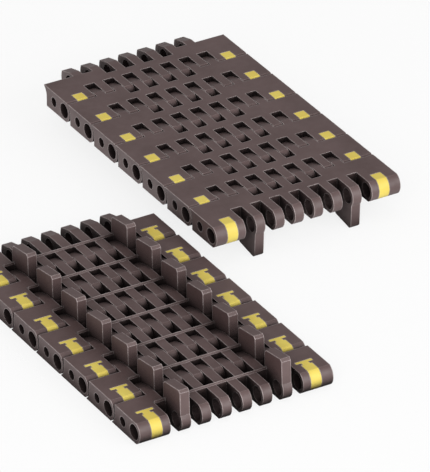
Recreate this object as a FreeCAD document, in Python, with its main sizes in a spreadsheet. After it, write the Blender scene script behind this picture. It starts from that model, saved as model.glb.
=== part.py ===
"""Mat top conveyor chain: two loose lengths of moulded links, hinge pins and retaining clips.

One length stands on its guide tabs with the carrying side up, and the other lies turned over beside it.
In a link's own frame X runs across the chain, Y runs back along it and Z points out of the carrying side,
with the origin on the axis of the link's front hinge.
"""

import FreeCAD, Part
import math
import os
import Sketcher

# Driving dimensions in millimetres
DIMENSIONS = {
    "pitch": 19.05,
    "width": 82.55,
    "thickness": 8.7,
    "bore_diameter": 6.2,
    "pin_clearance": 0.075,
    "edge_nose_width": 13.0,
    "nose_thickness": 4.0,
    "knuckle_gap": 0.225,
    "spine_setback": 7.3,
    "nose_flat": 1.6,
    "tail_tip_gap": 0.5,
    "tail_relief": 1.7,
    "lip_reach": 2.9,
    "swing_gap": 0.25,
    "inner_lip_depth": 2.6,
    "side_hole_diameter": 4.0,
    "side_hole_setback": 8.35,
    "side_hole_depth": 9.0,
    "clip_inset": 7.3,
    "clip_width": 4.5,
    "clip_depth": 0.95,
    "clip_reach": 2.8,
    "clip_clearance": 0.05,
    "tongue_height": 2.4,
    "tongue_reach": 2.6,
    "head_width": 7.0,
    "head_length": 1.3,
    "neck_width": 3.0,
    "neck_length": 1.5,
    "tab_height": 9.0,
    "tab_front": 3.4,
    "tab_rear": 9.2,
    "tab_lean": 0.5,
    "tab_chamfer": 1.0,
    "tab_slope": 1.5,
    "pocket_depth": 5.2,
    "ridge_height": 0.7,
    "ridge_length": 1.3,
    "length_gap": 6.0,
    "stagger": 95.25,
}
NOSES = 6
TAILS = 7
LINKS = 7


class Size:
    """A length with its value and the sheet expression that gives it."""

    def __init__(self, value, text):
        self.value = value
        self.text = text

    def __add__(self, other):
        return Size(self.value + other.value, f"({self.text} + {other.text})")

    def __sub__(self, other):
        return Size(self.value - other.value, f"({self.text} - {other.text})")

    def __mul__(self, factor):
        return Size(self.value * factor, f"({self.text} * {factor})")

    def __truediv__(self, divisor):
        return Size(self.value / divisor, f"({self.text} / {divisor})")

    def __neg__(self):
        return self * -1


def leg(hypotenuse, other):
    """The third side of a right triangle."""
    value = math.sqrt(hypotenuse.value ** 2 - other.value ** 2)
    return Size(value, f"sqrt({hypotenuse.text}^2 - {other.text}^2)")


def diagonal(side, other):
    """The longest side of a right triangle."""
    value = math.hypot(side.value, other.value)
    return Size(value, f"sqrt({side.text}^2 + {other.text}^2)")


def round_past(flat, half):
    """The radius of the arc that leaves a flat at its end and meets the middle plane square."""
    value = half.value + flat.value ** 2 / 2 / (half.value - flat.value)
    return Size(value, f"({half.text} + {flat.text}^2 / 2 / ({half.text} - {flat.text}))")


doc = FreeCAD.newDocument("mat_top_chain")
sheet = doc.addObject("Spreadsheet::Sheet", "Sizes")
for row, (alias, value) in enumerate(DIMENSIONS.items(), 1):
    sheet.set(f"A{row}", alias)
    sheet.set(f"B{row}", str(value))
    sheet.setAlias(f"B{row}", alias)
doc.recompute()


def size(alias):
    return Size(float(sheet.get(alias)), f"(<<Sizes>>.{alias} * 1 mm)")


pitch = size("pitch")
width = size("width")
radius = size("thickness") / 2
bore = size("bore_diameter") / 2
flat = size("nose_flat")
swing = diagonal(flat, radius) + size("swing_gap")
edge = width / 2
gaps = size("knuckle_gap") * (NOSES + TAILS + 1)
tail_thickness = (width - size("edge_nose_width") * 2 - size("nose_thickness") * NOSES - gaps) / TAILS
spacing = size("nose_thickness") + tail_thickness + size("knuckle_gap") * 2
spine_front = size("spine_setback")
spine_rear = pitch - size("spine_setback")
block_rear = pitch - swing
tail_reach = size("spine_setback") - size("tail_tip_gap")
clip_inner = radius - size("clip_depth")


def bind(thing, path, length):
    """Gives a property its value and its sheet expression."""
    thing.setExpression(path, length.text)


def origin_feature(body, role):
    return next(f for f in body.Origin.OriginFeatures if f.Role == role)


def new_sketch(body, name, role, offset):
    sketch = body.newObject("Sketcher::SketchObject", name)
    sketch.AttachmentSupport = [(origin_feature(body, role), "")]
    sketch.MapMode = "FlatFace"
    bind(sketch, "AttachmentOffset.Base.z", offset)
    return sketch


def constrain(sketch, kind, place, length):
    index = sketch.addConstraint(Sketcher.Constraint(kind, *place, length.value))
    bind(sketch, f"Constraints[{index}]", length)


def place_point(sketch, edge_index, end, point):
    constrain(sketch, "DistanceX", (-1, 1, edge_index, end), point[0])
    constrain(sketch, "DistanceY", (-1, 1, edge_index, end), point[1])


def arc_between(first, last, bulge):
    """An arc from first to last that bulges right for a bulge over 0, and whether it runs backwards."""
    chord = last - first
    middle = (first + last) / 2
    reach = abs(bulge)
    rise = math.sqrt(max(reach ** 2 - (chord.Length / 2) ** 2, 0))
    side = FreeCAD.Vector(-chord.y, chord.x, 0).normalize() * math.copysign(rise, bulge)
    centre = middle + side
    ends = (first, last) if bulge > 0 else (last, first)
    angles = [math.atan2(p.y - centre.y, p.x - centre.x) for p in ends]
    circle = Part.Circle(centre, FreeCAD.Vector(0, 0, 1), reach)
    return Part.ArcOfCircle(circle, *angles), bulge < 0


def draw_outline(sketch, corners):
    """Draws a closed outline of corners (across, up) or (across, up, radius of the arc that follows, turn)."""
    ends = []
    spots = [FreeCAD.Vector(c[0].value, c[1].value, 0) for c in corners]
    for i, corner in enumerate(corners):
        first, last = spots[i], spots[(i + 1) % len(spots)]
        backwards = False
        if len(corner) == 4:
            curve, backwards = arc_between(first, last, corner[2].value * corner[3])
            index = sketch.addGeometry(curve)
            constrain(sketch, "Radius", (index,), corner[2])
        else:
            index = sketch.addGeometry(Part.LineSegment(first, last))
        ends.append((index, 2, 1) if backwards else (index, 1, 2))
    for i, (index, start, _) in enumerate(ends):
        before = ends[i - 1]
        sketch.addConstraint(Sketcher.Constraint("Coincident", before[0], before[2], index, start))
        place_point(sketch, index, start, corners[i])


def draw_circle(sketch, point, circle_radius):
    centre = FreeCAD.Vector(point[0].value, point[1].value, 0)
    circle = Part.Circle(centre, FreeCAD.Vector(0, 0, 1), circle_radius.value)
    index = sketch.addGeometry(circle)
    constrain(sketch, "Radius", (index,), circle_radius)
    place_point(sketch, index, 3, point)


def rectangle(low, high):
    return [low, (high[0], low[1]), high, (low[0], high[1])]


def feature(body, kind, name, sketch, length, **settings):
    made = body.newObject(f"PartDesign::{kind}", name)
    made.Profile = sketch
    for key, value in settings.items():
        setattr(made, key, value)
    if length is not None:
        bind(made, "Length", length)
    sketch.Visibility = False
    doc.recompute()
    return made


def across(body, kind, name, offset, outline, length, **settings):
    """A pad or pocket whose outline lies in the side view, starting offset across the chain."""
    sketch = new_sketch(body, name + "_outline", "YZ_Plane", offset)
    draw_outline(sketch, outline)
    return feature(body, kind, name, sketch, length, **settings)


def mirror(body, name, originals):
    made = body.newObject("PartDesign::Mirrored", name)
    made.Originals = originals
    made.MirrorPlane = (origin_feature(body, "YZ_Plane"), [""])
    body.Tip = made
    doc.recompute()
    return made


def repeat(body, name, original, count):
    made = body.newObject("PartDesign::LinearPattern", name)
    made.Originals = [original]
    made.Direction = (origin_feature(body, "X_Axis"), [""])
    made.Occurrences = count
    bind(made, "Length", spacing * (count - 1))
    body.Tip = made
    doc.recompute()
    return made


zero = Size(0.0, "0 mm")
nose_start = -(spacing * (NOSES - 1) / 2) - size("nose_thickness") / 2
tail_start = -(spacing * (TAILS - 1) / 2) - tail_thickness / 2
clip_start = -(edge - size("clip_inset") + size("clip_width") / 2)
lip_drop = leg(swing, size("lip_reach"))
inner_lip_low = radius - size("inner_lip_depth")
inner_lip_rear = pitch - leg(swing, inner_lip_low)
head_front = size("clip_reach") + size("neck_length")


def clip_outline(gap):
    """The C-shaped side view of a clip with its tongue in the bore, grown by gap for its groove."""
    inner = clip_inner - gap
    outer = radius + gap
    outer_round = round_past(flat, outer)
    rear = size("clip_reach") + gap
    tongue_top = size("tongue_height") / 2 + gap
    tongue_end = -(clip_inner - size("tongue_reach")) + gap
    tongue_root = leg(inner, tongue_top)
    return [
        (rear, outer),
        (-flat, outer, outer_round, 1),
        (-outer, zero, outer_round, 1),
        (-flat, -outer),
        (rear, -outer),
        (rear, -inner),
        (zero, -inner, inner, -1),
        (-tongue_root, -tongue_top),
        (tongue_end, -tongue_top),
        (tongue_end, tongue_top),
        (-tongue_root, tongue_top, inner, -1),
        (zero, inner),
        (rear, inner),
    ]


def clip_head(body, kind, name, gap, **settings):
    """The neck and cross bar of a clip on the underside, or its seat."""
    middle = -(edge - size("clip_inset"))
    half_head = size("head_width") / 2 + gap
    half_neck = size("neck_width") / 2 + gap
    bar_front = head_front - gap
    bar_rear = head_front + size("head_length") + gap
    corners = [
        (middle - half_neck, size("clip_reach") - gap),
        (middle + half_neck, size("clip_reach") - gap),
        (middle + half_neck, bar_front),
        (middle + half_head, bar_front),
        (middle + half_head, bar_rear),
        (middle - half_head, bar_rear),
        (middle - half_head, bar_front),
        (middle - half_neck, bar_front),
    ]
    sketch = new_sketch(body, name + "_outline", "XY_Plane", -radius)
    draw_outline(sketch, corners)
    return feature(body, kind, name, sketch, size("clip_depth") + gap, **settings)


def make_link():
    """One moulded link: spine, edge noses, interior noses, tails, guide tabs and underside pockets."""
    body = doc.addObject("PartDesign::Body", "link_moulding")
    root = spine_front + size("ridge_length")
    tail_root = spine_rear - size("ridge_length")
    nose_round = round_past(flat, radius)
    spine = rectangle((spine_front, -radius), (spine_rear, radius))
    across(body, "Pad", "spine", zero, spine, width, Midplane=True)

    edge_profile = [
        (pitch - size("lip_reach"), radius),
        (-flat, radius, nose_round, 1),
        (-radius, zero, nose_round, 1),
        (-flat, -radius),
        (block_rear, -radius),
        (block_rear, zero, swing, -1),
        (pitch - size("lip_reach"), lip_drop),
    ]
    edge_block = across(body, "Pad", "edge_block", -edge, edge_profile, size("edge_nose_width"))
    root_profile = rectangle((spine_front, -radius), (block_rear, radius))
    outer_tail = spacing * (TAILS - 1) / 2
    edge_root = across(body, "Pad", "edge_root", -edge, root_profile, edge - outer_tail)
    lip_profile = [
        (tail_root, inner_lip_low),
        (inner_lip_rear, inner_lip_low, swing, -1),
        (pitch - size("lip_reach"), lip_drop),
        (pitch - size("lip_reach"), radius),
        (tail_root, radius),
    ]
    second_tail = spacing * (TAILS - 3) / 2
    inner_lip = across(body, "Pad", "inner_lip", -edge, lip_profile, edge - second_tail)
    mirror(body, "both_edges", [edge_block, edge_root, inner_lip])

    nose_profile = [
        (root, radius),
        (-flat, radius, nose_round, 1),
        (-radius, zero, nose_round, 1),
        (-flat, -radius),
        (root, -radius),
    ]
    nose = across(body, "Pad", "nose", nose_start, nose_profile, size("nose_thickness"))
    repeat(body, "nose_row", nose, NOSES)

    tip_half = radius - size("tail_relief")
    tip_start = leg(tail_reach, tip_half)
    tail_profile = [
        (tail_root, -radius),
        (pitch, -radius),
        (pitch + tip_start, -tip_half, tail_reach, 1),
        (pitch + tip_start, tip_half),
        (pitch, radius),
        (tail_root, radius),
    ]
    tail = across(body, "Pad", "tail", tail_start, tail_profile, tail_thickness)
    repeat(body, "tail_row", tail, TAILS)

    tab_root = radius / 2
    tab_low = radius + size("tab_height")
    tab_tip = size("tab_front") - size("tab_lean")
    tab_profile = [
        (-size("tab_front"), -tab_root),
        (-tab_tip, -tab_low + size("tab_chamfer")),
        (-tab_tip + size("tab_chamfer"), -tab_low),
        (size("tab_rear") - size("tab_chamfer"), -tab_low + size("tab_slope")),
        (size("tab_rear"), -tab_low + size("tab_slope") + size("tab_chamfer")),
        (size("tab_rear"), -tab_root),
    ]
    tab = across(body, "Pad", "guide_tab", nose_start, tab_profile, size("nose_thickness"))
    mirror(body, "both_tabs", [tab])

    ridge_profile = [
        (spine_front, -radius),
        (spine_front + size("ridge_length") / 2, -radius - size("ridge_height")),
        (root, -radius),
        (root, -bore),
        (spine_front, -bore),
    ]
    ridge_span = width - size("edge_nose_width") * 2
    across(body, "Pad", "ridge", zero, ridge_profile, ridge_span, Midplane=True)

    bores = new_sketch(body, "bores_outline", "YZ_Plane", zero)
    draw_circle(bores, (zero, zero), bore)
    draw_circle(bores, (pitch, zero), bore)
    feature(body, "Pocket", "hinge_bores", bores, width + spacing, Midplane=True)

    side = new_sketch(body, "side_hole_outline", "YZ_Plane", -edge)
    draw_circle(side, (size("side_hole_setback"), zero), size("side_hole_diameter") / 2)
    side_hole = feature(body, "Pocket", "side_hole", side, size("side_hole_depth"), Reversed=True)

    gap = size("clip_clearance")
    groove = across(
        body, "Pocket", "clip_groove", clip_start - gap, clip_outline(gap),
        size("clip_width") + gap * 2, Reversed=True,
    )
    seat = clip_head(body, "Pocket", "clip_seat", gap, Reversed=True)
    mirror(body, "both_sides", [side_hole, groove, seat])

    pocket_half = (spacing - tail_thickness) / 2
    pocket_rear = spine_rear + size("swing_gap")
    pocket_level = -radius - size("ridge_height")
    depth = size("pocket_depth") + size("ridge_height")

    def pocket(name, middle, start):
        """A pocket in the underside that takes a sprocket tooth ahead of the next link's nose."""
        sketch = new_sketch(body, name + "_outline", "XY_Plane", pocket_level)
        draw_outline(sketch, rectangle((middle - pocket_half, start), (middle + pocket_half, pocket_rear)))
        return feature(body, "Pocket", name, sketch, depth, Reversed=True)

    tab_middle = -(spacing * (NOSES - 1) / 2)
    tab_pocket = pocket("tab_pocket", tab_middle, size("tab_rear") + size("swing_gap"))
    mirror(body, "tab_pockets", [tab_pocket])
    drive_pocket = pocket("drive_pocket", tab_middle + spacing, root)
    repeat(body, "drive_pockets", drive_pocket, NOSES - 2)
    return body


def make_clips():
    """The left clip of a link, with its cross bar."""
    body = doc.addObject("PartDesign::Body", "clip_moulding")
    across(body, "Pad", "clip_band", clip_start, clip_outline(zero), size("clip_width"))
    clip_head(body, "Pad", "clip_cross_bar", zero)
    return body


def make_pin():
    """A hinge pin that ends short of the two clip tongues."""
    pin = doc.addObject("Part::Cylinder", "hinge_pin")
    half = edge - size("clip_inset") - size("clip_width") / 2 - size("swing_gap")
    bind(pin, "Radius", bore - size("pin_clearance"))
    bind(pin, "Height", half * 2)
    bind(pin, "Placement.Base.x", -half)
    pin.Placement.Rotation = FreeCAD.Rotation(FreeCAD.Vector(0, 1, 0), 90)
    return pin


link = make_link()
clip = make_clips()
other_clip = doc.addObject("Part::Mirroring", "other_clip")
other_clip.Source = clip
other_clip.Normal = FreeCAD.Vector(1, 0, 0)
clip_pair = doc.addObject("Part::Compound", "clip_pair")
clip_pair.Links = [clip, other_clip]
pin = make_pin()
doc.recompute()

# Where the two lengths lie
chain_length = radius + pitch * LINKS + tail_reach
first_axis = -(chain_length + size("stagger")) / 2 + radius
LENGTHS = {
    "carry": {
        "x": (width + size("length_gap")) / 2,
        "y": first_axis + size("stagger"),
        "z": radius + size("tab_height"),
        "turn": 0,
    },
    "under": {
        "x": -(width + size("length_gap")) / 2,
        "y": first_axis,
        "z": radius,
        "turn": 180,
    },
}

sub_parts = []


def put(source, label, lie, number):
    """Places a copy of a piece at one link of a length."""
    piece = doc.addObject("Part::Compound", label)
    piece.Label = label
    piece.Links = [source]
    piece.Placement.Rotation = FreeCAD.Rotation(FreeCAD.Vector(0, 1, 0), lie["turn"])
    bind(piece, "Placement.Base.x", lie["x"])
    bind(piece, "Placement.Base.y", lie["y"] + pitch * number)
    bind(piece, "Placement.Base.z", lie["z"])
    sub_parts.append(piece)


for name, lie in LENGTHS.items():
    for number in range(LINKS):
        put(link, f"{name}_link_{number + 1}", lie, number)
        put(clip_pair, f"{name}_clips_{number + 1}", lie, number)
        if number:
            put(pin, f"{name}_pin_{number + 1}", lie, number)
doc.recompute()

failed = [o.Name for o in doc.Objects if {"Invalid", "Error"} & set(o.State)]
failed += [o.Label for o in sub_parts if o.Shape.isNull() or not o.Shape.isValid()]
if failed:
    raise RuntimeError("failed: " + ", ".join(failed))

os.makedirs("parts", exist_ok=True)
for piece in sub_parts:
    piece.Shape.exportStep(f"parts/{piece.Label}.step")
print("link volume", round(link.Shape.Volume, 2), "solids", len(link.Shape.Solids), "nodes", len(sub_parts))
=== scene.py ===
"""Two lengths of mat top conveyor chain on a pale bench, seen from the photograph's angle."""

import math

import bpy
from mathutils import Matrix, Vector


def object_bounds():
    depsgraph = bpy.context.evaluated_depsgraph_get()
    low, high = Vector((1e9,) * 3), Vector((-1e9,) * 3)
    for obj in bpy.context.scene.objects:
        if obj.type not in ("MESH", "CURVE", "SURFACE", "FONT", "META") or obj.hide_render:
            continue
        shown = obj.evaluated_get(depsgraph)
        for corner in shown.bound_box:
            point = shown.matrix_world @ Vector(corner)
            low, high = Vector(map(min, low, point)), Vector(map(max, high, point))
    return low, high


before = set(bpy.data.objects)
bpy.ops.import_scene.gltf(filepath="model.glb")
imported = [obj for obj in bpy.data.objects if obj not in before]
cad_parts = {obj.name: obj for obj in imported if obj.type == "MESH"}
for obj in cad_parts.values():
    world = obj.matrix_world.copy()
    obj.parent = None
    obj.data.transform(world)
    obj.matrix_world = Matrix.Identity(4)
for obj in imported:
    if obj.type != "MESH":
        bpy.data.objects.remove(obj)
cad_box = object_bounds()
scene = bpy.context.scene

# Camera: angles in degrees, lens and sensor in millimetres, the rest in metres
AZIMUTH = -30.5
ELEVATION = 30.1
DISTANCE = 2.4
AIM = Vector((0.01335, -0.0058, 0.00306))
LENS = 476.0
SENSOR = 36.0
FARTHEST = 400.0

# Colours in linear values
LINK_DARK = (0.064, 0.033, 0.031, 1.0)
LINK_PALE = (0.089, 0.051, 0.049, 1.0)
# Arris colour of the links: painted highlight and some wear along the rounded edges
LINK_EDGE_WEAR_AND_HIGHLIGHT = (0.58, 0.50, 0.49, 1.0)
CLIP_DEEP = (0.63, 0.48, 0.082, 1.0)
CLIP_PALE = (0.69, 0.565, 0.115, 1.0)
# Arris colour of the clips: painted highlight and some wear along the rounded edges
CLIP_EDGE_WEAR_AND_HIGHLIGHT = (0.92, 0.82, 0.36, 1.0)
PIN_DEEP = (0.56, 0.53, 0.46, 1.0)
PIN_PALE = (0.68, 0.66, 0.60, 1.0)
# Arris colour of the pins: painted highlight and some wear along the rounded edges
PIN_EDGE_WEAR_AND_HIGHLIGHT = (0.75, 0.73, 0.68, 1.0)
# Near black painted into hollows as shade, on the colour and on the reflections
HOLLOW_PAINTED_SHADE = (0.008, 0.006, 0.006, 1.0)
BENCH = (0.86, 0.86, 0.86, 1.0)
WHITE = (1.0, 1.0, 1.0, 1.0)

# Noises on the moulded plastic, with scales per metre
MOTTLE = {"scale": 70.0, "detail": 3.0, "roughness": 0.55}
FLOW = {"scale": 330.0, "detail": 2.0, "roughness": 0.5}
SPARK = {"scale": 1900.0, "detail": 4.0, "roughness": 0.6}

# The stretch of each noise that is used, and the shares that it is spread over
WHOLE = (0.0, 1.0)
MOTTLE_STRETCH = (0.30, 0.70)
SPECK_STRETCH = (0.52, 0.78)
SPECK_SHARE = (0.0, 0.35)
# Painted highlight and wear on arrises, made patchy by the flow noise
WEAR_AND_HIGHLIGHT_STRETCH = (0.25, 0.75)
WEAR_AND_HIGHLIGHT_SHARE = (0.35, 1.0)
SATIN_STRETCH = (0.3, 0.7)

# Depth of the spark texture in metres
SPARK_DEPTH = 0.0001

# Roughness: how far it strays from its mean on faces, and its value in hollows
SMOOTHER = 0.05
ROUGHER = 0.07
DULL = 1.0

# Rays that test each point for arrises and hollows
PROBES = 6

# Arrises: cosine between the true and the rounded normal, on a face and on an arris
ARRIS_COSINES = (0.99, 0.86)

# Painted shade in hollows: reach in metres, and the ambient light in a hollow and on a face, spread over
# openness
HOLLOW_REACH = 0.012
HOLLOW_STRETCH = (0.42, 0.90)
HOLLOW_SHARE = (0.02, 1.0)

# Stage in metres, and the share of the bench that is plain white to the camera and in reflections
PLANE_SIZE = 200.0
BACKDROP_DROP = 0.3
BENCH_ROUGHNESS = 0.9
WHITE_SHARE = (0.0, 0.82)

# Strength of the white light from all round
WORLD_STRENGTH = 0.48

# Sockets of a colour mix, which share their names with those of other kinds of mix
MIX_FIRST = 6
MIX_SECOND = 7
MIX_RESULT = 2


class Nodes:
    """The node tree of a new material or world, with short calls to add and join nodes."""

    def __init__(self, owner, shader):
        self.owner = owner
        owner.use_nodes = True
        self.tree = owner.node_tree
        self.shader = self.tree.nodes[shader]

    def add(self, kind, **settings):
        """Adds a node with its settings."""
        node = self.tree.nodes.new(kind)
        for key, value in settings.items():
            setattr(node, key, value)
        return node

    def feed(self, value, socket):
        """Sets a plain number or colour on a socket, or joins another node's output to it."""
        if isinstance(value, bpy.types.NodeSocket):
            self.tree.links.new(value, socket)
        else:
            socket.default_value = value

    def noise(self, place, scale, detail, roughness):
        """A noise that is fixed to the part."""
        node = self.add("ShaderNodeTexNoise")
        self.feed(place, node.inputs["Vector"])
        self.feed(scale, node.inputs["Scale"])
        self.feed(detail, node.inputs["Detail"])
        self.feed(roughness, node.inputs["Roughness"])
        return node.outputs["Fac"]

    def spread(self, source, stretch, share):
        """Spreads a stretch of a value's range over another range, and holds it at its ends."""
        node = self.add("ShaderNodeMapRange")
        self.feed(source, node.inputs["Value"])
        self.feed(stretch[0], node.inputs["From Min"])
        self.feed(stretch[1], node.inputs["From Max"])
        self.feed(share[0], node.inputs["To Min"])
        self.feed(share[1], node.inputs["To Max"])
        return node.outputs["Result"]

    def combine(self, operation, first, second):
        """One number worked out from two."""
        node = self.add("ShaderNodeMath", operation=operation)
        self.feed(first, node.inputs[0])
        self.feed(second, node.inputs[1])
        return node.outputs["Value"]

    def mix(self, amount, first, second):
        """A colour that goes from the first to the second."""
        node = self.add("ShaderNodeMix", data_type="RGBA")
        self.feed(amount, node.inputs["Factor"])
        self.feed(first, node.inputs[MIX_FIRST])
        self.feed(second, node.inputs[MIX_SECOND])
        return node.outputs[MIX_RESULT]

    def blend(self, amount, first, second):
        """A surface that goes from the first shader to the second."""
        node = self.add("ShaderNodeMixShader")
        for value, socket in zip((amount, first, second), node.inputs):
            self.feed(value, socket)
        return node.outputs["Shader"]

    def show(self, surface):
        """Makes a shader the material's surface."""
        self.feed(surface, self.tree.nodes["Material Output"].inputs["Surface"])

    def edges(self, radius):
        """One along the rounded arrises of a moulding and zero on its faces, and the rounded normal."""
        bevel = self.add("ShaderNodeBevel", samples=PROBES)
        self.feed(radius, bevel.inputs["Radius"])
        rounded = bevel.outputs["Normal"]
        geometry = self.add("ShaderNodeNewGeometry")
        cosine = self.add("ShaderNodeVectorMath", operation="DOT_PRODUCT")
        self.feed(rounded, cosine.inputs[0])
        self.feed(geometry.outputs["Normal"], cosine.inputs[1])
        return self.spread(cosine.outputs["Value"], ARRIS_COSINES, WHOLE), rounded

    def hollow_shade(self):
        """Near zero for the shade in narrow hollows, and one on open faces."""
        shade = self.add("ShaderNodeAmbientOcclusion", samples=PROBES)
        self.feed(HOLLOW_REACH, shade.inputs["Distance"])
        return self.spread(shade.outputs["AO"], HOLLOW_STRETCH, HOLLOW_SHARE)


def moulded(name, deep, pale, edge_wear_and_highlight, roughness, gloss, grain, radius):
    """A moulded plastic: slow mottling, a fine spark texture, paler rounded arrises painted with
    highlight and wear, and painted shade in hollows.
    """
    nodes = Nodes(bpy.data.materials.new(name), "Principled BSDF")
    surface = nodes.shader.inputs
    place = nodes.add("ShaderNodeTexCoord").outputs["Object"]
    mottle = nodes.noise(place, **MOTTLE)
    flow = nodes.noise(place, **FLOW)
    spark = nodes.noise(place, **SPARK)
    arris, rounded = nodes.edges(radius)
    openness = nodes.hollow_shade()

    blotches = nodes.mix(nodes.spread(mottle, MOTTLE_STRETCH, WHOLE), deep, pale)
    specks = nodes.mix(nodes.spread(spark, SPECK_STRETCH, SPECK_SHARE), blotches, pale)
    # Painted highlight and wear on the arrises, patchy along the flow noise
    worn_and_highlit = nodes.combine("MULTIPLY", arris, nodes.spread(flow, WEAR_AND_HIGHLIGHT_STRETCH, WEAR_AND_HIGHLIGHT_SHARE))
    # Painted shade: the base colour goes near black in hollows
    nodes.feed(nodes.mix(openness, HOLLOW_PAINTED_SHADE, nodes.mix(worn_and_highlit, specks, edge_wear_and_highlight)), surface["Base Color"])

    satin = nodes.spread(flow, SATIN_STRETCH, (roughness - SMOOTHER, roughness + ROUGHER))
    nodes.feed(nodes.spread(openness, WHOLE, (DULL, satin)), surface["Roughness"])
    nodes.feed(gloss, surface["Specular IOR Level"])
    # Painted shade on reflections: the specular tint goes black in hollows
    nodes.feed(nodes.mix(openness, HOLLOW_PAINTED_SHADE, WHITE), surface["Specular Tint"])

    bump = nodes.add("ShaderNodeBump")
    nodes.feed(grain, bump.inputs["Strength"])
    nodes.feed(SPARK_DEPTH, bump.inputs["Distance"])
    nodes.feed(spark, bump.inputs["Height"])
    nodes.feed(rounded, bump.inputs["Normal"])
    nodes.feed(bump.outputs["Normal"], surface["Normal"])
    return nodes.owner


def white_glow(nodes):
    """Plain white that no lamp or shadow changes."""
    glow = nodes.add("ShaderNodeEmission")
    nodes.feed(WHITE, glow.inputs["Color"])
    return glow.outputs["Emission"]


def bench_material():
    """A white floor with a faint shadow, clear enough to show links that hang below its level."""
    nodes = Nodes(bpy.data.materials.new("bench_white"), "Principled BSDF")
    nodes.feed(BENCH, nodes.shader.inputs["Base Color"])
    nodes.feed(BENCH_ROUGHNESS, nodes.shader.inputs["Roughness"])
    path = nodes.add("ShaderNodeLightPath").outputs
    mirrored = nodes.combine("MAXIMUM", path["Is Glossy Ray"], path["Is Transmission Ray"])
    in_gloss = nodes.spread(mirrored, WHOLE, WHITE_SHARE)
    straight = nodes.spread(path["Is Camera Ray"], WHOLE, WHITE_SHARE)
    lit = nodes.blend(in_gloss, nodes.shader.outputs["BSDF"], white_glow(nodes))
    clear = nodes.add("ShaderNodeBsdfTransparent").outputs["BSDF"]
    nodes.show(nodes.blend(straight, lit, clear))
    return nodes.owner


def backdrop_material():
    """The white that shows through the bench."""
    nodes = Nodes(bpy.data.materials.new("backdrop_white"), "Principled BSDF")
    nodes.show(white_glow(nodes))
    return nodes.owner


def stage_plane(name, height, material):
    """A wide level plane of the studio, which is not part of the object."""
    bpy.ops.mesh.primitive_plane_add(size=PLANE_SIZE, location=(0.0, 0.0, height))
    plane = bpy.context.object
    plane.name = name
    plane.data.materials.append(material)


def look_at_aim(name, data, azimuth, elevation, distance):
    """Adds a camera or lamp that looks at the chain, with azimuth 0 in front of the noses."""
    turn = math.radians(azimuth)
    lift = math.radians(elevation)
    away = Vector((math.sin(turn) * math.cos(lift), -math.cos(turn) * math.cos(lift), math.sin(lift)))
    holder = bpy.data.objects.new(name, data)
    scene.collection.objects.link(holder)
    holder.location = AIM + away * distance
    holder.rotation_euler = (AIM - holder.location).to_track_quat("-Z", "Y").to_euler()
    return holder


def soft_lamp(name, azimuth, elevation, distance, size, power):
    """A wide round lamp, sized in metres, with its power in watts."""
    lamp = bpy.data.lights.new(name, "AREA")
    lamp.shape = "DISK"
    lamp.size = size
    lamp.energy = power
    look_at_aim(name, lamp, azimuth, elevation, distance)


# Finish of each kind of piece, with the radius of its arrises in metres
LOOKS = {
    "link": moulded(
        "link_acetal", LINK_DARK, LINK_PALE, LINK_EDGE_WEAR_AND_HIGHLIGHT,
        roughness=0.50, gloss=0.75, grain=0.22, radius=0.0006,
    ),
    "clips": moulded(
        "clip_acetal", CLIP_DEEP, CLIP_PALE, CLIP_EDGE_WEAR_AND_HIGHLIGHT,
        roughness=0.42, gloss=0.30, grain=0.10, radius=0.0003,
    ),
    "pin": moulded(
        "pin_plastic", PIN_DEEP, PIN_PALE, PIN_EDGE_WEAR_AND_HIGHLIGHT,
        roughness=0.40, gloss=0.45, grain=0.10, radius=0.0003,
    ),
}

# A node is named by its length of chain, its kind and its number
for name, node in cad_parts.items():
    _, kind, _ = name.split("_")
    node.data.materials.clear()
    node.data.materials.append(LOOKS[kind])

# Bench under the chain, and the white below it
bench_height = cad_box[0][2]
stage_plane("bench", bench_height, bench_material())
stage_plane("backdrop", bench_height - BACKDROP_DROP, backdrop_material())

# Studio light
soft_lamp("key", azimuth=-38.0, elevation=24.0, distance=2.6, size=2.2, power=46.0)
soft_lamp("fill", azimuth=28.0, elevation=22.0, distance=2.6, size=2.2, power=40.0)
soft_lamp("top", azimuth=-20.0, elevation=80.0, distance=2.0, size=1.2, power=4.0)
world = bpy.data.worlds.new("studio")
surround = Nodes(world, "Background")
surround.feed(WHITE, surround.shader.inputs["Color"])
surround.feed(WORLD_STRENGTH, surround.shader.inputs["Strength"])
scene.world = world
scene.view_settings.view_transform = "Standard"

# Camera at the photograph's viewing angle
optics = bpy.data.cameras.new("camera")
optics.lens = LENS
optics.sensor_width = SENSOR
optics.clip_end = FARTHEST
scene.camera = look_at_aim("camera", optics, AZIMUTH, ELEVATION, DISTANCE)
